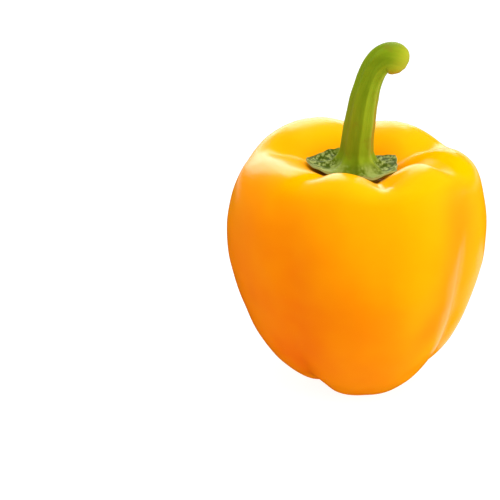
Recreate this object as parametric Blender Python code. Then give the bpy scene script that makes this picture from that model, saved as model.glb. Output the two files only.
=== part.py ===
"""A whole yellow bell pepper: a blocky fruit with four lobes, and its green stem with a ragged calyx.

The fruit stands on the low points of its lobes. The origin is on the surface that it stands on, under the
middle of the fruit. +Z is up, -Y is the front and +X is the right. Angles are measured round the fruit's axis
from the front towards the right, in degrees.
"""

import math

import bmesh
import bpy
import numpy as np

MM = 0.001

# Driving dimensions of the fruit: its radius and the height of the crests of its lobes.
FRUIT_RADIUS = 43.0 * MM
CREST_HEIGHT = 82.0 * MM

# Clear space between the fruit and the calyx.
SEAT_GAP = 0.45 * MM

# How finely the solids are faceted: steps round, and rows from one station to the next.
FRUIT_FACETS = (72, 2)
STEM_FACETS = (36, 2)

# The fruit's outline from the middle of its top, over the crest, down the side and under to its blossom end.
# Each station: distance from the axis and height on a lobe, as shares of the fruit's radius and crest height,
# then the valleys between lobes there: how deep they cut in (share of the radius), how far they sink (+) or
# rise (-) in mm, and how wide they are, in degrees.
FRUIT_STATIONS = [
    # name, radius, height, cut, sink, width
    ("top pole", 0.00, 0.885, 0.00, 0.0, 15),
    ("seat", 0.14, 0.887, 0.00, 0.0, 15),
    ("seat edge", 0.27, 0.902, 0.00, 0.4, 15),
    ("hollow", 0.38, 0.938, 0.00, 1.6, 19),
    ("inner crest", 0.50, 0.980, 0.00, 3.2, 20),
    ("crest", 0.63, 1.000, 0.02, 4.4, 20),
    ("outer crest", 0.77, 0.984, 0.025, 3.0, 22),
    ("shoulder", 0.905, 0.920, 0.042, 0.9, 25),
    ("upper side", 0.980, 0.810, 0.060, 0.2, 25),
    ("widest", 1.000, 0.680, 0.078, 0.0, 19),
    ("waist", 0.972, 0.530, 0.088, 0.0, 15),
    ("lower side", 0.900, 0.385, 0.088, 0.0, 14),
    ("heel", 0.795, 0.240, 0.10, 0.0, 14),
    ("lower heel", 0.654, 0.122, 0.13, -1.0, 16),
    ("outer foot", 0.508, 0.042, 0.16, -2.6, 18),
    ("foot", 0.388, -0.004, 0.15, -4.0, 19),
    ("inner foot", 0.310, -0.004, 0.11, -4.0, 20),
    ("blossom edge", 0.210, 0.024, 0.05, -2.6, 20),
    ("blossom hollow", 0.105, 0.052, 0.02, -1.0, 20),
    ("blossom end", 0.00, 0.062, 0.00, 0.0, 20),
]

# The valleys between the lobes: where each one runs at the crest, the waist and the foot, in degrees, and how
# deep it is at those three places, as a share of the depth in the stations.
VALLEYS = [
    # name, angle at crest, waist, foot, strength at crest, waist, foot
    ("left of front", -39, -33, -50, 1.0, 0.40, 0.60),
    ("right of front", 63, 57, 67, 1.4, 1.12, 1.00),
    ("right of back", 122, 128, 125, 1.35, 0.90, 1.0),
    ("left of back", -106, -112, -115, 1.2, 0.70, 0.9),
    ("middle of front", 12, 9, 5, 1.4, 0.05, 0.05),
    ("middle of back", 181, 184, 188, 1.0, 0.10, 0.2),
]
VALLEY_SHARPNESS = 0.45
VALLEY_FALL = 2.2

# The crest's place in the stations, and how finely the top inside it is sampled for the calyx to lie on.
CREST_PLACE = [row[0] for row in FRUIT_STATIONS].index("crest")
TOP_SAMPLES = 101

# The lobes and half lobes: where each one is, how far it reaches (share of the radius), and how far its crest
# and its foot stand above the common height, in mm.
LOBES = [
    # name, angle, reach, crest rise, foot rise
    ("front left", -27, 1.00, 3.8, 0.0),
    ("front middle", 4, 1.00, 0.0, 0.0),
    ("front right", 31, 0.980, 4.9, 0.0),
    ("right", 100, 0.975, -0.8, 0.0),
    ("back right", 152, 1.00, 1.3, 0.0),
    ("back left", 228, 1.045, 2.3, 0.0),
    ("left", -72, 1.055, -2.0, 1.0),
]
LOBE_FOCUS = 7.0

# The rim of the calyx: direction and distance from the middle of the stem's foot, and lift off the fruit.
CALYX_RIM = [
    # degrees, mm, mm
    (-154, 12.6, 1.2),
    (-141, 12.4, 1.0),
    (-122, 13.0, 0.9),
    (-100, 16.4, 0.6),
    (-64, 15.0, 0.5),
    (-43, 14.8, 0.2),
    (-14, 13.3, 0.4),
    (12, 13.5, 0.8),
    (29, 14.6, 0.6),
    (48, 14.2, 1.0),
    (67, 13.9, 1.2),
    (90, 13.4, 1.6),
    (110, 14.2, 1.8),
    (139, 10.8, 1.0),
    (176, 11.0, 0.6),
]

# The skin of the calyx, from under its middle out to the rim and in again over the top to the stem's foot.
# Each station: share of the way from the stem's foot (0) out to the rim (1), height above the fruit in mm,
# and how strongly the stem's ridges show there.
CALYX_STATIONS = [
    # name, share, height, ridges
    ("under pole", -1.00, 0.0, 0.0),
    ("under foot", -0.45, 0.0, 0.0),
    ("under seat", 0.15, 0.0, 0.0),
    ("under leaf", 0.62, 0.2, 0.0),
    ("under rim", 0.97, 0.6, 0.0),
    ("rim", 1.00, 1.1, 0.0),
    ("top rim", 0.95, 1.5, 0.1),
    ("leaf", 0.74, 1.5, 0.4),
    ("inner leaf", 0.44, 2.5, 0.8),
    ("flare", 0.17, 5.0, 1.0),
    ("foot", 0.05, 7.0, 1.0),
]

# The stem's middle line and its radius, from the calyx up and over to its swollen end, in mm.
STEM_STATIONS = [
    # x, y, z, radius
    (-2.2, 0.0, 81.5, 5.30),
    (-1.9, 0.0, 86.0, 5.00),
    (-1.3, 0.0, 91.0, 4.85),
    (-0.6, 0.0, 96.5, 4.60),
    (0.3, 0.0, 101.5, 4.30),
    (1.5, 0.0, 106.0, 4.10),
    (2.9, -0.3, 109.6, 4.20),
    (4.7, -0.7, 112.2, 4.50),
    (6.7, -1.1, 113.6, 4.90),
    (8.7, -1.5, 113.7, 5.25),
    (10.7, -1.9, 113.1, 4.95),
    (12.4, -2.2, 112.3, 3.65),
    (13.4, -2.4, 111.8, 1.40),
]
STEM_RIDGES = 8
RIDGE_TURN = 4.0
RIDGE_SHARE = 0.07
RIDGE_SOFTNESS = 0.25


def through(values, places):
    """A smooth curve through values, one at each whole number, read at places (Catmull-Rom)."""
    values = np.asarray(values, float)
    ends = np.concatenate([[2 * values[0] - values[1]], values, [2 * values[-1] - values[-2]]])
    before = np.clip(np.floor(places).astype(int), 0, len(values) - 2)
    t = np.asarray(places, float) - before
    a, b, c, d = (ends[before + k] for k in range(4))
    return 0.5 * (2 * b + (c - a) * t + (2 * a - 5 * b + 4 * c - d) * t**2 + (3 * b - a - 3 * c + d) * t**3)


def wrapped(angles):
    """Angles in degrees, brought to between -180 and 180."""
    return (np.asarray(angles, float) + 180.0) % 360.0 - 180.0


def softened(x, softness):
    """The distance of x from zero, with its sharp corner at zero rounded off."""
    return np.sqrt(x**2 + softness**2) - softness


def round_blend(angles, centres, values, focus):
    """The values given in some directions, blended smoothly all the way round."""
    weights = [np.exp(focus * (np.cos(np.radians(angles - centre)) - 1)) for centre in centres]
    return sum(w * v for w, v in zip(weights, values)) / sum(weights)


def valley(distance, width):
    """1 in the middle of a valley and 0 far from it: a soft V with wide sides."""
    return np.exp(-VALLEY_FALL * softened(distance / width, VALLEY_SHARPNESS))


def around(angle, radius, height):
    """Points at an angle in degrees, a distance from the axis and a height."""
    turn = np.radians(angle)
    across, towards, height = np.broadcast_arrays(radius * np.sin(turn), -radius * np.cos(turn), height)
    return np.stack([across, towards, height], axis=-1)


def grid(station_count, facets):
    """Places along the stations, as a column, and angles all the way round, as a row."""
    turn_steps, rows = facets
    last = station_count - 1
    place = np.linspace(0, last, last * rows + 1)[:, None]
    angle = np.linspace(0, 360, turn_steps, endpoint=False)[None, :]
    return place, angle


def fruit_surface(place, angle):
    """The point of the fruit's skin at each place along its stations and each angle."""
    names = [row[0] for row in FRUIT_STATIONS]
    crest, waist, foot, last = (names.index(name) for name in ("crest", "waist", "foot", "blossom end"))
    radius, height, cut, sink, width = (
        through([row[k] for row in FRUIT_STATIONS], place) for k in range(1, 6)
    )

    marks = [crest, waist, foot]
    kept = 1.0
    sunk = 0.0
    for row in VALLEYS:
        middle = np.interp(place, marks, row[1:4])
        strength = np.interp(place, marks, row[4:7])
        share = strength * valley(wrapped(angle - middle), width)
        kept = kept * (1 - cut * share)
        sunk = sunk + sink * share

    directions = [row[1] for row in LOBES]
    reach, crest_rise, foot_rise = (
        round_blend(angle, directions, [row[k] for row in LOBES], LOBE_FOCUS) for k in (2, 3, 4)
    )
    rise = np.interp(place, [1, crest, waist], [0, 1, 0]) * crest_rise
    rise = rise + np.interp(place, [waist, foot, last], [0, 1, 0]) * foot_rise
    z = height * CREST_HEIGHT + (rise - sunk) * MM
    return around(angle, radius * kept * reach * FRUIT_RADIUS, np.maximum(z, 0))


def fruit_top(distance, angle):
    """The height of the fruit's skin inside its crests, at a distance from its axis."""
    place = np.linspace(0, CREST_PLACE, TOP_SAMPLES)
    radius = through([row[1] for row in FRUIT_STATIONS], place) * FRUIT_RADIUS
    return fruit_surface(np.interp(distance, radius, place), angle)[..., 2]


def ridge_wave(angle):
    """Between 1 on a ridge of the stem and -1 midway between two, with flat sides and a rounded top."""
    x = np.abs(np.sin(np.radians(STEM_RIDGES * (angle - RIDGE_TURN)) / 2))
    return 1 - 2 * softened(x, RIDGE_SOFTNESS) / softened(1.0, RIDGE_SOFTNESS)


def calyx_rings(facets):
    """Rings from under the middle of the calyx, out to its rim and in again to the foot of the stem."""
    place, angle = grid(len(CALYX_STATIONS), facets)
    share, height, ridges = (through([row[k] for row in CALYX_STATIONS], place) for k in range(1, 4))
    foot_x, _, _, foot = STEM_STATIONS[0]
    directions, distances, lifts = zip(*CALYX_RIM)
    rim = np.interp(angle, directions, distances, period=360)
    lift = np.interp(angle, directions, lifts, period=360)

    outward = np.clip(share, 0, 1)
    radius = np.where(share < 0, foot * (1 + share), foot + (rim - foot) * share)
    radius = radius * (1 + ridges * RIDGE_SHARE * ridge_wave(angle))
    points = around(angle, radius * MM, 0.0)
    points[..., 0] += foot_x * MM
    distance = np.hypot(points[..., 0], points[..., 1])
    direction = np.degrees(np.arctan2(points[..., 0], -points[..., 1]))
    points[..., 2] = fruit_top(distance, direction) + SEAT_GAP + (height + outward**2 * lift) * MM
    return points


def stem_rings(facets):
    """Rings round the stem's middle line, each one square to it."""
    place, angle = grid(len(STEM_STATIONS), facets)
    stations = np.array(STEM_STATIONS) * MM
    line = np.stack([through(stations[:, k], place[:, 0]) for k in range(3)], axis=-1)
    radius = through(stations[:, 3], place)
    along = np.gradient(line, axis=0)
    along = along / np.linalg.norm(along, axis=1)[:, None]
    to_front = np.array([0.0, -1.0, 0.0])
    front = to_front - along * (along @ to_front)[:, None]
    front = front / np.linalg.norm(front, axis=1)[:, None]
    right = np.cross(along, front)
    flat = around(angle, radius * (1 + RIDGE_SHARE * ridge_wave(angle)), 0.0)
    return line[:, None, :] + flat[..., :1] * right[:, None, :] - flat[..., 1:2] * front[:, None, :]


def skin(name, rings, colour, roughness):
    """An object whose skin runs over the rings in turn and is closed by a fan at each end."""
    mesh = bpy.data.meshes.new(name)
    body = bmesh.new()
    layers = [[body.verts.new(point) for point in ring] for ring in rings]
    steps = len(layers[0])
    for upper, lower in zip(layers, layers[1:]):
        for k in range(steps):
            after = (k + 1) % steps
            body.faces.new((upper[k], lower[k], lower[after], upper[after]))
    for layer in (layers[0], layers[-1]):
        middle = body.verts.new(np.mean([vert.co for vert in layer], axis=0))
        for k in range(steps):
            body.faces.new((layer[k], layer[(k + 1) % steps], middle))
    bmesh.ops.recalc_face_normals(body, faces=body.faces)
    bmesh.ops.triangulate(body, faces=body.faces)
    body.to_mesh(mesh)
    body.free()
    mesh.shade_smooth()
    material = bpy.data.materials.new(name)
    material.use_nodes = True
    surface = material.node_tree.nodes["Principled BSDF"]
    surface.inputs["Base Color"].default_value = colour
    surface.inputs["Roughness"].default_value = roughness
    mesh.materials.append(material)
    obj = bpy.data.objects.new(name, mesh)
    bpy.context.scene.collection.objects.link(obj)
    return obj


def main():
    for obj in list(bpy.data.objects):
        bpy.data.objects.remove(obj)

    fruit = fruit_surface(*grid(len(FRUIT_STATIONS), FRUIT_FACETS))
    stem = np.concatenate([calyx_rings(STEM_FACETS)[1:], stem_rings(STEM_FACETS)])

    # The lobes aren't alike, so the middle of the fruit is a little off the axis that they are drawn round.
    middle = (fruit.min(axis=(0, 1)) + fruit.max(axis=(0, 1))) / 2
    middle[2] = 0.0
    skin("fruit", fruit[1:-1] - middle, (1.0, 0.42, 0.0, 1.0), 0.25)
    skin("stem_and_calyx", stem - middle, (0.13, 0.26, 0.01, 1.0), 0.5)


main()
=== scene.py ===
# %% [markdown]
# # A yellow bell pepper
#
# The pepper is two things grown together: a hollow, blocky fruit with a glossy skin, and a rough green stem
# that flares into a calyx, the ragged star of leaf by which the fruit hangs. This lesson dresses the plain
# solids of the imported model. It makes a finer skin for each of them, gives the skins their finishes, and
# lights them as a small product photograph. Lengths are in metres, +Z is up, and the front of the pepper
# looks along -Y.

import math

import bpy
import numpy as np
from mathutils import Matrix, Vector


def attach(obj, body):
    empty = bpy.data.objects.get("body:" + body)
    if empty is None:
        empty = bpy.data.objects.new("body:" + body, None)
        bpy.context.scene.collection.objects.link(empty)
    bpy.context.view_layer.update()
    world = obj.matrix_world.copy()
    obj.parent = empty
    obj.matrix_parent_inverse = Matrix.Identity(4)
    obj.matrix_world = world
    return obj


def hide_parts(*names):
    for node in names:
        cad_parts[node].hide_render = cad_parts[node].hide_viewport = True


MM = 0.001
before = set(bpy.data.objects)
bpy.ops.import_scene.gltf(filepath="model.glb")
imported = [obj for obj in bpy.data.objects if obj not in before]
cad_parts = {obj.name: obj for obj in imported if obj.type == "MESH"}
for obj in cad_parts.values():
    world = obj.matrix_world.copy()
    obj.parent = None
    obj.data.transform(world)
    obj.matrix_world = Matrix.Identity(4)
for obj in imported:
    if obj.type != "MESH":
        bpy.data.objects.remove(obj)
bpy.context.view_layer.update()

# %% [markdown]
# ## The camera
#
# The camera looks down at the pepper by 22 degrees from 0.7 metres away, as one would photograph a vegetable
# on a table. The pepper stands right of the picture's middle. A shift of the lens could put it there, but
# turning the camera's whole body is simpler and keeps the lens plain: the place where the camera stands is
# found backwards, along the ray that runs through the pepper's place in the picture.

# %% Camera
PICTURE = 500.0
AIM_PIXEL = (357.0, 218.0)
AIM_POINT = Vector((0.0, 0.0, 57.5 * MM))
PIXELS_PER_METRE = 3000.0
DISTANCE = 0.70
ELEVATION = 22.0
SENSOR = 36.0
NEAREST = 0.01
FARTHEST = 20.0

focal_pixels = PIXELS_PER_METRE * DISTANCE
across = AIM_PIXEL[0] - PICTURE / 2
upward = PICTURE / 2 - AIM_PIXEL[1]
tilt = math.radians(ELEVATION) + math.atan(upward / focal_pixels)
turned = Matrix.Rotation(math.pi / 2 - tilt, 3, "X")

camera = bpy.data.objects.new("camera", bpy.data.cameras.new("camera"))
bpy.context.scene.collection.objects.link(camera)
camera.data.sensor_width = SENSOR
camera.data.lens = SENSOR * focal_pixels / PICTURE
camera.data.clip_start = NEAREST
camera.data.clip_end = FARTHEST
camera.rotation_euler = turned.to_euler()
camera.location = AIM_POINT - turned @ Vector((across / focal_pixels, upward / focal_pixels, -1)) * DISTANCE
bpy.context.scene.camera = camera
print("the lens is", round(camera.data.lens), "mm and stands at", [round(x, 3) for x in camera.location])

# %% [markdown]
# ## Curves through a few stations
#
# A grown shape has no straight lines and no circles, so it is described by a few stations: how far out and
# how high the skin is at the crest, at the waist, at the foot. A smooth curve runs through them. Subdividing
# a coarse mesh would do something like it, but a curve through numbers keeps every station where it was put.

# %% Curve helpers


def through(values, places):
    """A smooth curve through values, one at each whole number, read at places.

    Between b and c, with neighbours a and d, it is the Catmull-Rom cubic: it leaves b in the direction from
    a to c and reaches c in the direction from b to d.
    """
    values = np.asarray(values, float)
    ends = np.concatenate([[2 * values[0] - values[1]], values, [2 * values[-1] - values[-2]]])
    before = np.clip(np.floor(places).astype(int), 0, len(values) - 2)
    t = np.asarray(places, float) - before
    a, b, c, d = (ends[before + k] for k in range(4))
    return 0.5 * (2 * b + (c - a) * t + (2 * a - 5 * b + 4 * c - d) * t**2 + (3 * b - a - 3 * c + d) * t**3)


def softened(x, softness):
    """The distance of x from zero with its corner rounded off.

    It is the root of x squared plus softness squared, less softness.
    """
    return np.sqrt(x**2 + softness**2) - softness


def step(low, high, x):
    """0 at low, 1 at high, and a smooth ramp between them: 3 t squared minus 2 t cubed."""
    t = np.clip((x - low) / (high - low), 0, 1)
    return t * t * (3 - 2 * t)


def band(rise, fall, x):
    """0, then 1, then 0 again: a step from one end of rise to the other, times one less a step over fall."""
    return step(*rise, x) * (1 - step(*fall, x))


# %% Grid helpers


def column(stations, k):
    """The numbers that the stations hold at place k."""
    return [row[k] for row in stations]


def grid(stations, steps, rows):
    """Places along the stations, as a column, and angles all the way round, as a row."""
    last = len(stations) - 1
    place = np.linspace(0, last, last * rows + 1)[:, None]
    angle = np.linspace(0, 360, steps, endpoint=False)[None, :]
    return place, angle


def around(angle, radius, height):
    """Points at an angle in degrees, a distance from the upright axis and a height."""
    turn = np.radians(angle)
    return np.stack(np.broadcast_arrays(radius * np.sin(turn), -radius * np.cos(turn), height), axis=-1)


def wrapped(angles):
    """Angles in degrees, brought to between -180 and 180."""
    return (np.asarray(angles, float) + 180.0) % 360.0 - 180.0


def bell(angle, middle, width):
    """1 in the middle, less to both sides: e to the minus square of the angle from it over the width."""
    return np.exp(-((wrapped(angle - middle) / width) ** 2))


# %% [markdown]
# ## Bumps that never repeat
#
# Nothing that grows is quite smooth. The bumps could be sculpted by hand, one piece after the other. Here a
# cloud of waves that run in random directions, all about as long, makes even bumps of one size with no grain.
# The draw is seeded, so the pepper is the same each time.

# %% Random bumps
WAVES = 48
WAVE_LENGTHS = (0.7, 1.6)


def rumple(points, size, seed):
    """Random bumps about size across, mostly between -1 and 1: the sum of cosines along random headings."""
    draw = np.random.default_rng(seed)
    heading = draw.normal(size=(WAVES, 3))
    heading = heading / np.linalg.norm(heading, axis=1)[:, None]
    length = size * draw.uniform(*WAVE_LENGTHS, WAVES)
    phase = draw.uniform(0, 2 * np.pi, WAVES)
    return np.cos(2 * np.pi * (points @ heading.T) / length + phase).sum(axis=-1) / math.sqrt(WAVES)


def ripple(angle, slowest, fastest, seed):
    """Random bumps round a circle, mostly between -1 and 1: cosines of slowest to fastest waves to a turn."""
    draw = np.random.default_rng(seed)
    turns = np.arange(slowest, fastest + 1)
    phase = draw.uniform(0, 2 * np.pi, len(turns))
    waves = np.cos(np.radians(angle)[..., None] * turns + phase)
    return waves.sum(axis=-1) / math.sqrt(len(turns))


# %% [markdown]
# ## From a grid of points to a closed skin
#
# Each piece is a grid: rows from top to bottom, and steps round. Two neighbouring rows and two neighbouring
# steps make a face, the last step joins the first, and a point at each end closes the pole. The rows run
# downwards and the steps run to the right as seen from outside, so every face looks out. A material can read
# the notes, which are values kept at the points: how deep in a valley the skin is there, or how near the rim
# of a leaf.

# %% Skin helper
MILLILITRE = (10 * MM) ** 3


def skin(name, points, notes):
    """A closed mesh over rows of points, with each note as an attribute.

    A note is one number or three for each point, or for each row or each step. The volume is that of the thin
    pyramids from the origin to each face, whose corners a, b, c and d give a times (b x c + c x d) over 6.
    """
    rows, steps = points.shape[:2]
    poles = points[0].mean(axis=0)[None], points[-1].mean(axis=0)[None]
    verts = np.concatenate([poles[0], points.reshape(-1, 3), poles[1]])
    here = np.arange(steps)
    after = (here + 1) % steps
    above = np.arange(rows - 1)[:, None] * steps + 1
    below = above + steps
    quads = np.stack([above + here, below + here, below + after, above + after], axis=-1).reshape(-1, 4)
    top = np.stack([np.zeros_like(here), here + 1, after + 1], axis=-1)
    last_row = (rows - 1) * steps + 1
    bottom = np.stack([last_row + here, np.full_like(here, len(verts) - 1), last_row + after], axis=-1)

    mesh = bpy.data.meshes.new(name)
    mesh.from_pydata(verts.tolist(), [], quads.tolist() + top.tolist() + bottom.tolist())
    for note, values in notes.items():
        values = np.broadcast_to(values, (rows, steps) + values.shape[2:])
        first, last = values[0].mean(axis=0)[None], values[-1].mean(axis=0)[None]
        whole = np.concatenate([first, values.reshape((rows * steps,) + values.shape[2:]), last])
        kind, field = ("FLOAT_VECTOR", "vector") if values.ndim == 3 else ("FLOAT", "value")
        mesh.attributes.new(note, kind, "POINT").data.foreach_set(field, whole.astype(np.float32).ravel())
    mesh.shade_smooth()
    piece = bpy.data.objects.new(name, mesh)
    bpy.context.scene.collection.objects.link(piece)

    a, b, c, d = (verts[quads[:, k]] for k in range(4))
    volume = (a * (np.cross(b, c) + np.cross(c, d))).sum() / 6
    triangles = 2 * len(quads) + len(top) + len(bottom)
    print(name, "has", triangles, "triangles and holds", round(volume / MILLILITRE, 1), "ml")
    return piece


# %% [markdown]
# ## The fruit's form
#
# A bell pepper has three or four lobes, one for each chamber inside. Between them run valleys, which are
# sharp where they start in the hollow at the top, fade down the sides, and return at the blossom end. They
# could be sculpted into a ball. Here the outline is drawn once, as it runs over a lobe, and each station also
# says how deep the valleys cut there, so that a lobe is moved by changing one number. The lobes are uneven,
# and the front and back ones are split in two at their top only.

# %% Fruit stations, valleys and lobes
FRUIT_RADIUS = 43.0 * MM
CREST_HEIGHT = 82.0 * MM

FRUIT_STATIONS = [
    # name, radius and height as shares, and of a valley its cut as a share, sink in mm and width in degrees
    ("top pole", 0.00, 0.885, 0.00, 0.0, 15),
    ("seat", 0.14, 0.887, 0.00, 0.0, 15),
    ("seat edge", 0.27, 0.902, 0.00, 0.4, 15),
    ("hollow", 0.38, 0.938, 0.00, 1.6, 19),
    ("inner crest", 0.50, 0.980, 0.00, 3.2, 20),
    ("crest", 0.63, 1.000, 0.02, 4.4, 20),
    ("outer crest", 0.77, 0.984, 0.025, 3.0, 22),
    ("shoulder", 0.905, 0.920, 0.042, 0.9, 25),
    ("upper side", 0.980, 0.810, 0.060, 0.2, 25),
    ("widest", 1.000, 0.680, 0.078, 0.0, 19),
    ("waist", 0.972, 0.530, 0.088, 0.0, 15),
    ("lower side", 0.900, 0.385, 0.088, 0.0, 14),
    ("heel", 0.795, 0.240, 0.10, 0.0, 14),
    ("lower heel", 0.654, 0.122, 0.13, -1.0, 16),
    ("outer foot", 0.508, 0.042, 0.16, -2.6, 18),
    ("foot", 0.388, -0.004, 0.15, -4.0, 19),
    ("inner foot", 0.310, -0.004, 0.11, -4.0, 20),
    ("blossom edge", 0.210, 0.024, 0.05, -2.6, 20),
    ("blossom hollow", 0.105, 0.052, 0.02, -1.0, 20),
    ("blossom end", 0.00, 0.062, 0.00, 0.0, 20),
]
FRUIT_ROW = {row[0]: number for number, row in enumerate(FRUIT_STATIONS)}

VALLEYS = [
    # name, direction at the crest, waist and foot in degrees, strength at the crest, waist and foot
    ("left of front", -39, -33, -50, 1.0, 0.40, 0.60),
    ("right of front", 63, 57, 67, 1.4, 1.12, 1.00),
    ("right of back", 122, 128, 125, 1.35, 0.90, 1.0),
    ("left of back", -106, -112, -115, 1.2, 0.70, 0.9),
    ("middle of front", 12, 9, 5, 1.4, 0.05, 0.05),
    ("middle of back", 181, 184, 188, 1.0, 0.10, 0.2),
]
VALLEY_SHARPNESS = 0.45
VALLEY_FALL = 2.2

LOBES = [
    # name, direction, reach as a share of the radius, rise of its crest and of its foot in mm
    ("front left", -27, 1.00, 3.8, 0.0),
    ("front middle", 4, 1.00, 0.0, 0.0),
    ("front right", 31, 0.980, 4.9, 0.0),
    ("right", 100, 0.975, -0.8, 0.0),
    ("back right", 152, 1.00, 1.3, 0.0),
    ("back left", 228, 1.045, 2.3, 0.0),
    ("left", -72, 1.055, -2.0, 1.0),
]
LOBE_FOCUS = 7.0
print(len(FRUIT_STATIONS), "stations,", len(VALLEYS), "valleys and", len(LOBES), "lobes and half lobes")

# %% Fruit surface
TOP_SAMPLES = 101


def fruit_rows(*names):
    """The numbers of the stations with these names."""
    return [FRUIT_ROW[name] for name in names]


def valley_shares(place, angle, width):
    """For each valley, how much of it there is at each point: most in its middle and nothing far away.

    It is the strength times e to the minus fall times the softened angle from the middle over the width.
    """
    marks = fruit_rows("crest", "waist", "foot")
    shares = []
    for row in VALLEYS:
        middle = np.interp(place, marks, row[1:4])
        strength = np.interp(place, marks, row[4:7])
        away = softened(wrapped(angle - middle) / width, VALLEY_SHARPNESS)
        shares.append(strength * np.exp(-VALLEY_FALL * away))
    return shares


def lobe_blend(angle, k):
    """The lobes' values in column k, blended round: each one weighs most in its own direction."""
    weights = [np.exp(LOBE_FOCUS * (np.cos(np.radians(angle - row[1])) - 1)) for row in LOBES]
    return sum(w * row[k] for w, row in zip(weights, LOBES)) / sum(weights)


def fruit_surface(place, angle):
    """The skin at each place along the stations and each angle.

    Its radius is the station's radius times the lobe's reach, less each valley's cut. Its height is the
    station's height plus the lobe's rise, less each valley's sink, and never under the table.
    """
    radius, height, cut, sink, width = (through(column(FRUIT_STATIONS, k), place) for k in range(1, 6))
    reach, crest_rise, foot_rise = (lobe_blend(angle, k) for k in range(2, 5))
    kept = 1.0
    sunk = 0.0
    for share in valley_shares(place, angle, width):
        kept = kept * (1 - cut * share)
        sunk = sunk + sink * share
    seat, crest, waist, foot, last = fruit_rows("seat", "crest", "waist", "foot", "blossom end")
    rise = band((seat, crest), (crest, waist), place) * crest_rise
    rise = rise + band((waist, foot), (foot, last), place) * foot_rise
    z = height * CREST_HEIGHT + (rise - sunk) * MM
    return around(angle, radius * kept * reach * FRUIT_RADIUS, np.maximum(z, 0))


def fruit_top(distance, angle):
    """The height of the skin inside the crests, at a distance from the fruit's axis.

    The place along the stations is where the outline's radius, without lobes and valleys, is that distance.
    """
    place = np.linspace(0, FRUIT_ROW["crest"], TOP_SAMPLES)
    radius = through(column(FRUIT_STATIONS, 1), place) * FRUIT_RADIUS
    return fruit_surface(np.interp(distance, radius, place), angle)[..., 2]


# %% [markdown]
# ## The fruit's skin
#
# The fine skin follows the same form with many more points, and then swells and sinks by a few tenths of a
# millimetre, which makes the highlights wander as they do on a real pepper. It could be done with a Displace
# modifier, but here the same formula also keeps the feet flat on the table and the seat clear of the calyx.
# The notes mark what the finish needs to find: the crests, which are painted yellower as painted light, the
# valleys and the hollow, painted deeper orange as painted shade, the brown scar of the blossom, a band of
# painted shade beside the valley on the right, and the two places where the wax is dull.

# %% Make the fruit
FRUIT_STEPS = 360
FRUIT_ROWS = 10
SWELL = 0.30 * MM
SWELL_SIZE = 28 * MM
DENT = 0.06 * MM
DENT_SIZE = 9 * MM
FOOT_CLEAR = 4 * MM
VALLEY_WIDTH = 17.0
# painted shade: where a band beside the right valley is painted deeper orange, at the shoulder, waist and
# heel
GROOVE_SHADE_ANGLES = (48, 41, 33)
GROOVE_SHADE_WIDTH = 10.0
# the left lobe, where the crests are not painted yellower
ORANGE_LOBE = (-85.0, 38.0)
DULL_BANDS = [
    # direction at the inner and at the outer crest, and width, in degrees
    (96, 76, 18),
    (-43, -43, 9),
]

place, angle = grid(FRUIT_STATIONS, FRUIT_STEPS, FRUIT_ROWS)
fruit_points = fruit_surface(place, angle)
# as in the solid, the middle of the fruit's box comes over the origin
axis_shift = (fruit_points.min(axis=(0, 1)) + fruit_points.max(axis=(0, 1))) / 2 * (1, 1, 0)
on_side = step(*fruit_rows("inner crest", "shoulder"), place) * step(0, FOOT_CLEAR, fruit_points[..., 2])
swelling = SWELL * rumple(fruit_points, SWELL_SIZE, seed=3) + DENT * rumple(fruit_points, DENT_SIZE, seed=5)
fruit_points = fruit_points + around(angle, 1.0, 0.0) * (on_side * swelling)[..., None] - axis_shift

on_crest = band(fruit_rows("inner crest", "crest"), fruit_rows("outer crest", "shoulder"), place)
on_flank = band(fruit_rows("outer crest", "upper side"), fruit_rows("lower side", "heel"), place)
on_top = 1 - step(*fruit_rows("outer crest", "upper side"), place)
groove_shade_middle = np.interp(place, fruit_rows("shoulder", "waist", "heel"), GROOVE_SHADE_ANGLES)
dull = 0.0
for *directions, width in DULL_BANDS:
    dull = dull + bell(angle, np.interp(place, fruit_rows("inner crest", "outer crest"), directions), width)
fruit_notes = {
    # painted light: the crests are painted yellower, except on the left lobe
    "crest": on_crest * (1 - bell(angle, *ORANGE_LOBE)),
    "dull": dull * on_top,
    # painted shade: a band beside the right valley is painted deeper orange
    "groove_shade": bell(angle, groove_shade_middle, GROOVE_SHADE_WIDTH) * on_flank,
    # painted shade: the valleys are painted deeper orange
    "valley": sum(valley_shares(place, angle, VALLEY_WIDTH)) * step(*fruit_rows("crest", "widest"), place),
    # painted shade: the hollow round the calyx is painted deeper orange
    "hollow": 1 - step(*fruit_rows("seat edge", "inner crest"), place),
    "scar": step(*fruit_rows("blossom hollow", "blossom end"), place),
}
# the first and last rows lie on the poles, which the skin makes itself
fruit = skin("pepper_fruit", fruit_points[1:-1], {note: rows[1:-1] for note, rows in fruit_notes.items()})

# %% [markdown]
# ## The stem and its calyx
#
# The stem has eight blunt ridges. At its foot they splay into the calyx, a tough green collar that lies on
# the fruit and lifts at its ragged edge. One unbroken skin runs from under the collar, round its thin rim,
# over its crinkled top, up the stem and over the swollen end where it was cut from the plant. A Skin or Screw
# modifier could make the stem, but not the collar that it grows into, so both are one grid of points.

# %% Calyx and stem stations
SEAT_GAP = 0.45 * MM

CALYX_RIM = [
    # direction in degrees and distance in mm from the middle of the stem's foot, and lift off the fruit in mm
    (-154, 12.6, 1.2),
    (-141, 12.4, 1.0),
    (-122, 13.0, 0.9),
    (-100, 16.6, -0.1),
    (-64, 15.8, 0.0),
    (-43, 16.2, 0.1),
    (-14, 13.3, 0.4),
    (12, 13.5, 0.8),
    (29, 14.6, 0.6),
    (48, 14.2, 1.0),
    (67, 13.9, 1.2),
    (90, 13.4, 2.0),
    (110, 14.2, 2.9),
    (139, 10.8, 1.9),
    (176, 11.0, 0.6),
]

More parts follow.
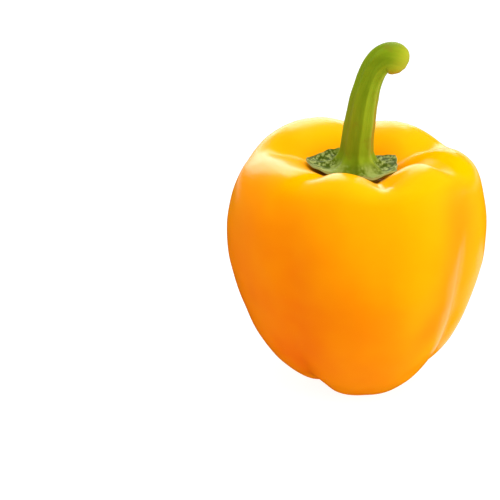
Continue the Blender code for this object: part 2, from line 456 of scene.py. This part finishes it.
CALYX_STATIONS = [
    # name, share of the way out to the rim, height above the fruit in mm, how strongly the ridges show
    ("under pole", -1.00, 0.0, 0.0),
    ("under foot", -0.45, 0.0, 0.0),
    ("under seat", 0.15, 0.0, 0.0),
    ("under leaf", 0.62, 0.2, 0.0),
    ("under rim", 0.97, 0.3, 0.0),
    ("rim", 1.00, 0.7, 0.0),
    ("top rim", 0.95, 1.2, 0.1),
    ("leaf", 0.74, 1.5, 0.4),
    ("inner leaf", 0.44, 2.5, 0.8),
    ("flare", 0.17, 5.0, 1.0),
    ("foot", 0.05, 7.0, 1.0),
]
CALYX_ROW = {row[0]: number for number, row in enumerate(CALYX_STATIONS)}

STEM_STATIONS = [
    # x, y and z of the middle line and the radius there, in mm
    (-2.2, 0.0, 81.5, 5.30),
    (-1.9, 0.0, 86.0, 5.00),
    (-1.3, 0.0, 91.0, 4.85),
    (-0.6, 0.0, 96.5, 4.60),
    (0.3, 0.0, 101.5, 4.30),
    (1.5, 0.0, 106.0, 4.10),
    (2.9, -0.3, 109.6, 4.20),
    (4.7, -0.7, 112.2, 4.50),
    (6.7, -1.1, 113.6, 4.90),
    (8.7, -1.5, 113.7, 5.25),
    (10.7, -1.9, 113.1, 4.95),
    (12.4, -2.2, 112.3, 3.65),
    (13.4, -2.4, 111.8, 1.40),
]
STEM_RIDGES = 8
RIDGE_TURN = 4.0
RIDGE_SHARE = 0.07
RIDGE_SOFTNESS = 0.25
print("the collar has", len(CALYX_RIM), "corners and the stem", STEM_RIDGES, "ridges")

# %% Calyx surface
NIBBLE = 0.20
FLUTTER = 0.15
CRINKLE = 0.13 * MM
CRINKLE_SIZE = 3.2 * MM
PUCKER = 0.20 * MM
PUCKER_SIZE = 7 * MM
VEIN = 0.55 * MM
VEIN_EDGE = (-0.2, 1.0)
VEIN_END = (0.05, 0.5)


def ridge_wave(angle):
    """1 on a ridge of the stem and -1 midway between two: 1 less twice the softened size of a half sine."""
    x = np.abs(np.sin(np.radians(STEM_RIDGES * (angle - RIDGE_TURN)) / 2))
    return 1 - 2 * softened(x, RIDGE_SOFTNESS) / softened(1.0, RIDGE_SOFTNESS)


def calyx_surface(place, angle):
    """The collar from under its middle, out to its rim, and in again over the top to the foot of the stem.

    Its distance from the foot's middle goes from the foot's radius to the rim by the station's share. Its
    height is the fruit's, plus the gap, the station's height, and a lift that grows with the square of that
    share. On top come random crinkles, and veins that carry the stem's ridges on and end before the rim.
    """
    share, height, ridges = (through(column(CALYX_STATIONS, k), place) for k in range(1, 4))
    foot_x, foot = STEM_STATIONS[0][0], STEM_STATIONS[0][3]
    directions, distances, lifts = zip(*CALYX_RIM)
    nibbles = NIBBLE * ripple(angle, slowest=5, fastest=22, seed=7)
    flutter = FLUTTER * np.abs(ripple(angle, slowest=4, fastest=12, seed=9))
    rim = np.interp(angle, directions, distances, period=360) + nibbles
    lift = np.interp(angle, directions, lifts, period=360) + flutter

    out = np.clip(share, 0, 1)
    radius = np.where(share < 0, foot * (1 + share), foot + (rim - foot) * share)
    radius = radius * (1 + ridges * RIDGE_SHARE * ridge_wave(angle)) * MM
    points = around(angle, radius, 0.0)
    points[..., 0] += foot_x * MM
    distance = np.hypot(points[..., 0], points[..., 1])
    direction = np.degrees(np.arctan2(points[..., 0], -points[..., 1]))
    points[..., 2] = fruit_top(distance, direction) + SEAT_GAP + (height + out**2 * lift) * MM

    top_begins = CALYX_ROW["rim"], CALYX_ROW["top rim"]
    top_ends = CALYX_ROW["inner leaf"], CALYX_ROW["foot"]
    crinkles = CRINKLE * rumple(points, CRINKLE_SIZE, seed=11)
    puckers = PUCKER * np.abs(rumple(points, PUCKER_SIZE, seed=13))
    veins = VEIN * step(*VEIN_EDGE, ridge_wave(angle)) * step(*VEIN_END, 1 - out)
    points[..., 2] += band(top_begins, top_ends, place) * (crinkles + puckers + veins)
    return points


# %% Stem surface
FIBRE = 0.006
BUMP = 0.014
BUMP_SIZE = 6 * MM
DETAIL_BEGINS = (0, 2)
RIDGES_FADE = (6.5, 9.0)


def stem_surface(place, angle):
    """Rings round the stem's middle line, each square to it.

    A ring's radius is the station's, times 1 plus the ridges, fibres and bumps. The ridges fade before the
    swollen end, and the fibres and bumps begin above the foot.
    """
    stations = np.array(STEM_STATIONS) * MM
    line = np.stack([through(stations[:, k], place[:, 0]) for k in range(3)], axis=-1)
    radius = through(stations[:, 3], place)
    along = np.gradient(line, axis=0)
    along = along / np.linalg.norm(along, axis=1)[:, None]
    to_front = np.array([0.0, -1.0, 0.0])
    front = to_front - along * (along @ to_front)[:, None]
    front = front / np.linalg.norm(front, axis=1)[:, None]
    right = np.cross(along, front)

    plain = around(angle, radius, 0.0)
    bumps = BUMP * rumple(plain + line[:, None, :], BUMP_SIZE, seed=17)
    ridged = 1 - step(*RIDGES_FADE, place)
    fibres = FIBRE * ridged * ripple(angle, slowest=18, fastest=40, seed=19)
    detail = step(*DETAIL_BEGINS, place) * (fibres + bumps)
    flat = around(angle, radius * (1 + RIDGE_SHARE * ridged * ridge_wave(angle) + detail), 0.0)
    return line[:, None, :] + flat[..., :1] * right[:, None, :] - flat[..., 1:2] * front[:, None, :]


# %% [markdown]
# ## Where the stem is painted light, brown and pale
#
# A stem is no more even in colour than in shape. Its right side is painted lighter and its left darker, as
# painted light and shade, brown patches lie beside its foot, the fruit's bounce light is painted brown under
# its end, two ridges are painted pale as painted highlights, and along its flares the collar loses its
# mottling and most of them turn pale, partly as a painted sheen. Painting on the mesh could place all this,
# but a direction and a width for each are quicker to change.

# %% Colour places on the stem
# painted light and shade: the stem's right side, from this direction on, is painted lighter
LIT_SIDE_FROM = 4.0
LIT_SIDE_EDGE = (-0.05, 0.12)
# painted highlights: two ridges painted pale where they catch the light
RIDGE_HIGHLIGHTS = [
    # direction and width in degrees, and how pale
    (49, 16, 1.0),
    (-84, 20, 0.6),
]
BROWN_FOOT = [
    # direction and width in degrees, and how brown
    (78, 16, 1.0),
    (-55, 40, 0.25),
]
# painted bounce light: the fruit's orange light under the stem's swollen end, painted brown
BOUNCE_UNDER_END = [(62, 26, 1.0)]
# the pale on the flares is partly a waxy bloom, partly a painted sheen
FLARES = [
    # direction and width in degrees, and how pale
    (-50, 20, 0.85),
    (-8, 20, 0.0),
    (30, 13, 1.0),
    (57, 10, 0.2),
    (155, 16, 0.5),
    (200, 18, 0.5),
]


def humps(angle, table):
    """Bell curves round the stem, added up: each row of the table is a direction, a width and a height."""
    return sum(height * bell(angle, middle, width) for middle, width, height in table)


rim_row, foot_row = CALYX_ROW["rim"], CALYX_ROW["foot"]
end_row = len(CALYX_STATIONS) + len(STEM_STATIONS) - 1
RIM_FADE = (0.1, 1.0)
LEAF_BEGINS = (rim_row, rim_row + 0.8)
LEAF_ENDS = (foot_row - 1.8, foot_row - 0.2)
BROWN_FOOT_BEGINS = (foot_row, foot_row + 2)
BROWN_FOOT_ENDS = (foot_row + 3, foot_row + 6)
BOUNCE_UNDER_END_BEGINS = (end_row - 5, end_row - 3)
CUT_END_BEGINS = (end_row - 3.6, end_row - 0.8)
print(len(FLARES), "flares,", len(RIDGE_HIGHLIGHTS), "pale ridges and", len(BROWN_FOOT + BOUNCE_UNDER_END), "dry places")

# %% Make the stem
STEM_STEPS = 288
CALYX_ROWS = 12
STEM_ROWS = 9
STEM_RADIUS = 5.0 * MM
STATION_GAP = 4.5 * MM
FIBRE_STRETCH = 7.0

calyx_place, angle = grid(CALYX_STATIONS, STEM_STEPS, CALYX_ROWS)
stem_place, _ = grid(STEM_STATIONS, STEM_STEPS, STEM_ROWS)
# the collar's first row lies on its pole, which the skin makes itself
calyx_points = calyx_surface(calyx_place, angle)[1:]
stem_points = np.concatenate([calyx_points, stem_surface(stem_place, angle)]) - axis_shift
whole_place = np.concatenate([calyx_place[1:], stem_place + len(CALYX_STATIONS)])

brown_foot = humps(angle, BROWN_FOOT) * band(BROWN_FOOT_BEGINS, BROWN_FOOT_ENDS, whole_place)
bounce_under_end = humps(angle, BOUNCE_UNDER_END) * step(*BOUNCE_UNDER_END_BEGINS, whole_place)
ridged = (0.5 + 0.5 * ridge_wave(angle)) * (1 - step(*RIDGES_FADE, whole_place - len(CALYX_STATIONS)))
stem_notes = {
    "leaf": band(LEAF_BEGINS, LEAF_ENDS, whole_place),
    "rim": 1 - step(*RIM_FADE, np.abs(whole_place - rim_row)),
    "lit_side": step(*LIT_SIDE_EDGE, np.sin(np.radians(angle - LIT_SIDE_FROM))),
    "brown_and_bounce": brown_foot + bounce_under_end,
    "flare": humps(angle, [(middle, width, 1.0) for middle, width, _ in FLARES]),
    "pale": humps(angle, FLARES),
    "ridge": humps(angle, RIDGE_HIGHLIGHTS) * ridged,
    "cut_end": step(*CUT_END_BEGINS, whole_place),
    "lie": around(angle, STEM_RADIUS, whole_place * STATION_GAP / FIBRE_STRETCH),
}
# the rows run up the stem, and a skin's rows run down
stem = skin("pepper_stem", stem_points[::-1], {note: rows[::-1] for note, rows in stem_notes.items()})

# %% [markdown]
# ## Finishes
#
# Each finish is a Principled surface whose colour comes from a few patterns: a gradient, noises of different
# sizes, and the notes kept on the mesh. Pictures of a real pepper could be wrapped round it instead, but
# patterns worked out from the place on the piece never stretch, repeat or show a seam. A short helper keeps
# the wiring readable.

# %% Finish helper


def colour(red, green, blue):
    return (red, green, blue, 1.0)


class Finish:
    """A material with its Principled surface, and short ways to add the nodes that feed it."""

    def __init__(self, name, **constants):
        self.material = bpy.data.materials.new(name)
        self.material.use_nodes = True
        self.nodes = self.material.node_tree.nodes
        self.surface = self.nodes["Principled BSDF"]
        self.fill(self.surface, {socket.replace("_", " "): value for socket, value in constants.items()})
        self.place = self.add("TexCoord", {}).outputs["Object"]

    def fill(self, node, inputs):
        """Put a number or colour into each input, or wire another node's output to it."""
        for socket, value in inputs.items():
            if isinstance(value, bpy.types.NodeSocket):
                self.material.node_tree.links.new(value, node.inputs[socket])
            else:
                node.inputs[socket].default_value = value

    def add(self, kind, inputs, **settings):
        """A new node of this kind, with its settings made and its inputs filled."""
        node = self.nodes.new("ShaderNode" + kind)
        for setting, value in settings.items():
            setattr(node, setting, value)
        self.fill(node, inputs)
        return node

    def note(self, name, output="Fac"):
        """A value that the mesh keeps at its points."""
        return self.add("Attribute", {}, attribute_name=name).outputs[output]

    def noise(self, size, place=None, detail=2.0):
        """A cloudy pattern between 0 and 1, its clouds about size across."""
        vector = place or self.place
        return self.add("TexNoise", {"Vector": vector, "Scale": 1 / size, "Detail": detail}).outputs["Fac"]

    def ramp(self, value, low, high, to_low=0.0, to_high=1.0):
        """A smooth ramp from to_low at low to to_high at high."""
        inputs = {"Value": value, "From Min": low, "From Max": high, "To Min": to_low, "To Max": to_high}
        return self.add("MapRange", inputs, interpolation_type="SMOOTHSTEP").outputs["Result"]

    def math(self, operation, first, second):
        """Two values, added, multiplied or whatever else the operation says."""
        return self.add("Math", {0: first, 1: second}, operation=operation).outputs[0]

    def part_of(self, name, share):
        """A note times a share."""
        return self.math("MULTIPLY", self.note(name), share)

    def mix(self, share, first, second):
        """The first colour where share is 0, the second where it is 1."""
        return self.add("Mix", {0: share, 6: first, 7: second}, data_type="RGBA").outputs[2]

    def bump(self, height, depth):
        """A normal for a pattern whose 0 and 1 lie depth apart."""
        return self.add("Bump", {"Height": height, "Distance": depth, "Strength": 1.0}).outputs["Normal"]


# %% [markdown]
# ## The fruit's finish
#
# The skin of a ripe pepper is one strong colour under clear wax. It is yellow at the top, on the right and
# at the back, and turns a deeper orange towards the front left and low down: partly the fruit's own ripening
# colour, partly painted shade on the side away from the lights. The hollow and the valleys are painted deeper
# orange as painted shade, and so is a band beside one valley, while most crests are painted yellower as
# painted light. Subsurface scattering gives some of this by itself, in red more than in green; the rest is a
# gradient with soft clouds in it. Faint pale pores keep the skin from looking like plastic. The gloss is
# tinted where one looks straight at it and white at a glance, as it is on wax over a coloured skin, and it
# fades out in the two dull places.

# %% Fruit finish
YELLOW = colour(1.0, 0.42, 0.0)
ORANGE = colour(0.77, 0.112, 0.0)
PORE = colour(1.0, 0.55, 0.003)
SCAR_BROWN = colour(0.30, 0.16, 0.03)
WAX_TINT = colour(1.0, 0.80, 0.30)
# partly the fruit's own ripening colour, partly painted shade: the side away from the lights is painted
# deeper orange
TOWARDS_ORANGE_AND_SHADE = (-0.66, -0.65, -0.41)
ORANGE_BEGINS = -27 * MM
ORANGE_FULL = 44 * MM
# painted shade and light: the hollow, the valleys and a band beside the right valley are painted deeper
# orange, the crests yellower
PAINTED_SHADE_AND_LIGHT = {"hollow": 0.35, "valley": 0.22, "groove_shade": 0.30, "crest": -0.16}
CLOUD_SIZE = 24 * MM
CLOUD_SHIFT = 4 * MM
CLOUD_EDGE = (0.3, 0.7)
PORE_GAP = 1.6 * MM
PORE_RAMP = (0.05, 0.16, 0.10, 0.0)
SCAR_SIZE = 2.5 * MM
SCAR_EDGE = (0.35, 0.6)
GLOSS_RAMP = (0.0, 0.9, 0.5, 0.0)
GRAIN_SIZE = 0.9 * MM
GRAIN_DEPTH = 0.006 * MM


def make_fruit_skin():
    f = Finish(
        "fruit_skin",
        Roughness=0.26,
        IOR=1.15,
        Specular_Tint=WAX_TINT,
        Subsurface_Weight=0.10,
        Subsurface_Radius=(1.0, 0.30, 0.03),
        Subsurface_Scale=3.5 * MM,
    )
    # painted shade: a gradient paints the skin deeper orange away from the lights, and the notes add painted
    # shade and light
    down_left = f.add("VectorMath", {0: f.place, 1: TOWARDS_ORANGE_AND_SHADE}, operation="DOT_PRODUCT").outputs["Value"]
    clouds = f.ramp(f.noise(CLOUD_SIZE), *CLOUD_EDGE, -CLOUD_SHIFT, CLOUD_SHIFT)
    warmth_with_painted_shade = f.ramp(f.math("ADD", down_left, clouds), ORANGE_BEGINS, ORANGE_FULL)
    for note, share in PAINTED_SHADE_AND_LIGHT.items():
        warmth_with_painted_shade = f.math("ADD", warmth_with_painted_shade, f.part_of(note, share))
    base = f.mix(f.math("MINIMUM", warmth_with_painted_shade, 1.0), YELLOW, ORANGE)
    pores = f.add("TexVoronoi", {"Vector": f.place, "Scale": 1 / PORE_GAP}).outputs["Distance"]
    base = f.mix(f.ramp(pores, *PORE_RAMP), base, PORE)
    scar = f.math("MULTIPLY", f.note("scar"), f.ramp(f.noise(SCAR_SIZE), *SCAR_EDGE))
    base = f.mix(scar, base, SCAR_BROWN)
    gloss = f.ramp(f.note("dull"), *GLOSS_RAMP)
    grain = f.bump(f.noise(GRAIN_SIZE), GRAIN_DEPTH)
    f.fill(f.surface, {"Base Color": base, "Specular IOR Level": gloss, "Normal": grain})
    return f.material


fruit.data.materials.append(make_fruit_skin())
print("the fruit's finish is", fruit.data.materials[0].name)

# %% [markdown]
# ## The stem's finish
#
# The stem is green and matt, with fine fibres along it and a yellowish end where it was cut. Its right side
# is painted light and its left side dark, as painted light and shade, and the notes say where it is painted
# pale as painted highlights, where it is brown, and where the fruit's bounce light is painted brown under its
# end. Where it flares into the collar it is painted darker, as painted shade. On the collar the same skin is
# a leaf, mottled dark and pale grey-green, with pale flares, partly a painted sheen, and a thin pale edge.
# The stem and the leaf could have a material each, but a line would show where they grow together, so one
# serves for both.
# The fibres read a note that says where each point would lie on a straight, shortened stem, so that they run
# along it and follow its bend.

# %% Stem finish
# STEM_GREEN and STEM_DARK are the lit and the shaded side's greens, painted light and shade; the fibres mix
# them too
STEM_GREEN = colour(0.250, 0.345, 0.010)
STEM_DARK = colour(0.160, 0.235, 0.002)
STEM_RIDGE_HIGHLIGHT = colour(0.420, 0.480, 0.050)
STEM_BROWN = colour(0.220, 0.160, 0.008)
BROWN_AND_BOUNCE = colour(0.400, 0.230, 0.015)
STEM_SHADE = colour(0.095, 0.125, 0.002)
END_YELLOW = colour(0.440, 0.430, 0.020)
LEAF_DARK = colour(0.062, 0.095, 0.002)
LEAF_PALE = colour(0.370, 0.420, 0.105)
RIM_PALE = colour(0.360, 0.440, 0.170)

FIBRE_SIZE = 1.3 * MM
STAIN_SIZE = 5 * MM
BLOTCH_SIZE = 1.25 * MM
RELIEF_DEPTH = 0.05 * MM
LEAF_RELIEF = 2.0
LIT_SIDE_SHARE = 0.70
RIM_SHARE = 0.8
# of each ramp: the pattern's low and high value, and what it gives there
FIBRE_RAMP = (0.32, 0.68, 0.0, 0.30)
RIDGE_RAMP = (0.3, 1.0, 0.0, 0.50)
STAIN_RAMP = (0.56, 0.72, 0.0, 0.35)
BLOTCH_RAMP = (0.40, 0.72, 0.0, 1.0)
FLARE_RAMP = (0.2, 0.9, 1.0, 0.10)
PALE_RAMP = (0.15, 1.0, 0.0, 0.75)
BLOOM_RAMP = (0.25, 0.6, 0.55, 1.0)
STEM_LAYERS = [
    # note, its share, and the colour that it lays over the green
    ("cut_end", 0.75, END_YELLOW),
    # painted bounce light under the stem's end, with brown patches by its foot
    ("brown_and_bounce", 0.8, BROWN_AND_BOUNCE),
    # painted shade: the green is painted darker on the collar, where the stem flares into it
    ("leaf", 0.55, STEM_SHADE),
]


def make_green_stem():
    f = Finish(
        "green_stem",
        Roughness=0.60,
        Specular_IOR_Level=0.06,
        Subsurface_Weight=0.05,
        Subsurface_Scale=1 * MM,
    )
    fibres = f.noise(FIBRE_SIZE, f.note("lie", "Vector"), detail=3.0)
    stains = f.noise(STAIN_SIZE, detail=3.0)
    blotches = f.noise(BLOTCH_SIZE)

    # painted light and shade: the right side is painted the lighter green
    tone = f.math("ADD", f.ramp(fibres, *FIBRE_RAMP), f.part_of("lit_side", LIT_SIDE_SHARE))
    green = f.mix(tone, STEM_DARK, STEM_GREEN)
    # painted highlights along two ridges
    green = f.mix(f.ramp(f.note("ridge"), *RIDGE_RAMP), green, STEM_RIDGE_HIGHLIGHT)
    green = f.mix(f.ramp(stains, *STAIN_RAMP), green, STEM_BROWN)
    for note, share, tint in STEM_LAYERS:
        green = f.mix(f.part_of(note, share), green, tint)

    leaf = f.mix(f.ramp(blotches, *BLOTCH_RAMP), LEAF_DARK, LEAF_PALE)
    leafness = f.math("MULTIPLY", f.note("leaf"), f.ramp(f.note("flare"), *FLARE_RAMP))
    whole = f.mix(leafness, green, leaf)
    # pale bloom on the flares, partly a painted sheen
    bloom = f.math("MULTIPLY", f.note("leaf"), f.ramp(f.note("pale"), *PALE_RAMP))
    whole = f.mix(f.math("MULTIPLY", bloom, f.ramp(blotches, *BLOOM_RAMP)), whole, LEAF_PALE)
    whole = f.mix(f.part_of("rim", RIM_SHARE), whole, RIM_PALE)
    relief = f.math("ADD", fibres, f.math("MULTIPLY", blotches, f.part_of("leaf", LEAF_RELIEF)))
    f.fill(f.surface, {"Base Color": whole, "Normal": f.bump(relief, RELIEF_DEPTH)})
    return f.material


stem.data.materials.append(make_green_stem())
print("the stem's finish is", stem.data.materials[0].name)

# %% [markdown]
# ## Floor and light
#
# The pepper stands on a white table that glows a little, so that it shows no tone and hardly a shadow. A wide
# softbox overhead and one on the right light the pepper, and the white world fills the shadows. Neither the
# table nor the world shows in the gloss. What it mirrors is placed for that alone, as in a studio, and lights
# nothing: two bright strips behind make the white patches on the crests, a card behind brightens the upper
# edges, a small one on the right makes the pale band low on that flank, and three faint strips give the sides
# a sheen. One picture of a room all round could do the same, but then no reflection could be moved by itself.

# %% Floor
FLOOR_DROP = 0.05 * MM
WHITE = colour(1.0, 1.0, 1.0)
PAPER_GREY = colour(0.25, 0.25, 0.25)
SHEETS = [
    # name, from and to in x and in y in metres, glow, mirrored only
    ("table", (-12.0, 12.0), (-12.0, 12.0), 0.90, False),
    ("card behind", (-0.5, 1.2), (0.36, 4.0), 1.00, True),
    ("card on the right", (0.035, 0.125), (-0.005, 0.085), 0.80, True),
]


def lay_sheet(name, across, away, glow, mirrored_only):
    """A glowing sheet on the table that is seen and lights the pepper, or shows only as its mirror image."""
    corners = [(across[0], away[0]), (across[1], away[0]), (across[1], away[1]), (across[0], away[1])]
    mesh = bpy.data.meshes.new(name)
    mesh.from_pydata([(x, y, -FLOOR_DROP) for x, y in corners], [], [(0, 1, 2, 3)])
    paper = Finish(
        name,
        Base_Color=PAPER_GREY,
        Roughness=0.9,
        Specular_IOR_Level=0.0,
        Emission_Color=WHITE,
        Emission_Strength=glow,
    )
    mesh.materials.append(paper.material)
    sheet = bpy.data.objects.new(name, mesh)
    bpy.context.scene.collection.objects.link(sheet)
    sheet.visible_glossy = mirrored_only
    sheet.visible_camera = not mirrored_only
    sheet.visible_diffuse = not mirrored_only
    sheet.visible_shadow = not mirrored_only
    return sheet


sheets = [lay_sheet(*row) for row in SHEETS]
print("laid:", [sheet.name for sheet in sheets])

# %% Softboxes and strips
SOFTBOXES = [
    # name, place, width and height in metres, brightness beside a sheet of white paper, mirrored only
    ("overhead softbox", (0.15, -0.20, 1.40), 1.20, 1.20, 2.8, False),
    ("right softbox", (1.30, -0.35, 0.50), 1.20, 1.20, 1.9, False),
    ("strip behind", (-0.14, 1.60, 0.60), 1.28, 1.00, 5.1, True),
    ("strip above and behind", (0.05, 1.20, 1.05), 0.80, 0.55, 8.5, True),
    ("strip on the right", (1.60, -0.30, 0.36), 2.20, 0.60, 0.3, True),
    ("strip on the left", (-1.60, -0.30, 0.36), 2.20, 0.60, 0.25, True),
    ("strip in front", (0.0, -1.60, 0.36), 2.20, 0.60, 0.25, True),
]


def hang_softbox(name, place, width, height, brightness, mirrored_only):
    """A flat light that faces the pepper. Its power is pi times its brightness times its area."""
    lamp = bpy.data.lights.new(name, "AREA")
    lamp.shape = "RECTANGLE"
    lamp.size = width
    lamp.size_y = height
    lamp.energy = brightness * math.pi * width * height
    holder = bpy.data.objects.new(name, lamp)
    holder.location = place
    holder.rotation_euler = (Vector(place) - AIM_POINT).to_track_quat("Z", "Y").to_euler()
    holder.visible_camera = False
    holder.visible_glossy = mirrored_only
    holder.visible_diffuse = not mirrored_only
    holder.visible_transmission = False
    bpy.context.scene.collection.objects.link(holder)


for box in SOFTBOXES:
    hang_softbox(*box)
print("hung:", [box[0] for box in SOFTBOXES])

# %% World
WORLD_STRENGTH = 0.85

world = bpy.data.worlds.new("white studio")
world.use_nodes = True
background = world.node_tree.nodes["Background"]
background.inputs["Color"].default_value = WHITE
# the world has its strength as a light, and a strength of 1 where the camera sees it
seen = world.node_tree.nodes.new("ShaderNodeLightPath").outputs["Is Camera Ray"]
strength = world.node_tree.nodes.new("ShaderNodeMapRange")
strength.inputs["To Min"].default_value = WORLD_STRENGTH
world.node_tree.links.new(seen, strength.inputs["Value"])
world.node_tree.links.new(strength.outputs["Result"], background.inputs["Strength"])
world.cycles_visibility.glossy = False
bpy.context.scene.world = world
bpy.context.scene.view_settings.view_transform = "Standard"
print("the world has a strength of", WORLD_STRENGTH)

# %% [markdown]
# ## Handing over
#
# Each skin takes the place of its plain solid, which is hidden, and moves with the same body.

# %% Hand over
for piece, node, slot in ((fruit, "fruit", "fruit_skin"), (stem, "stem_and_calyx", "green_stem")):
    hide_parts(node)
    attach(piece, "root")
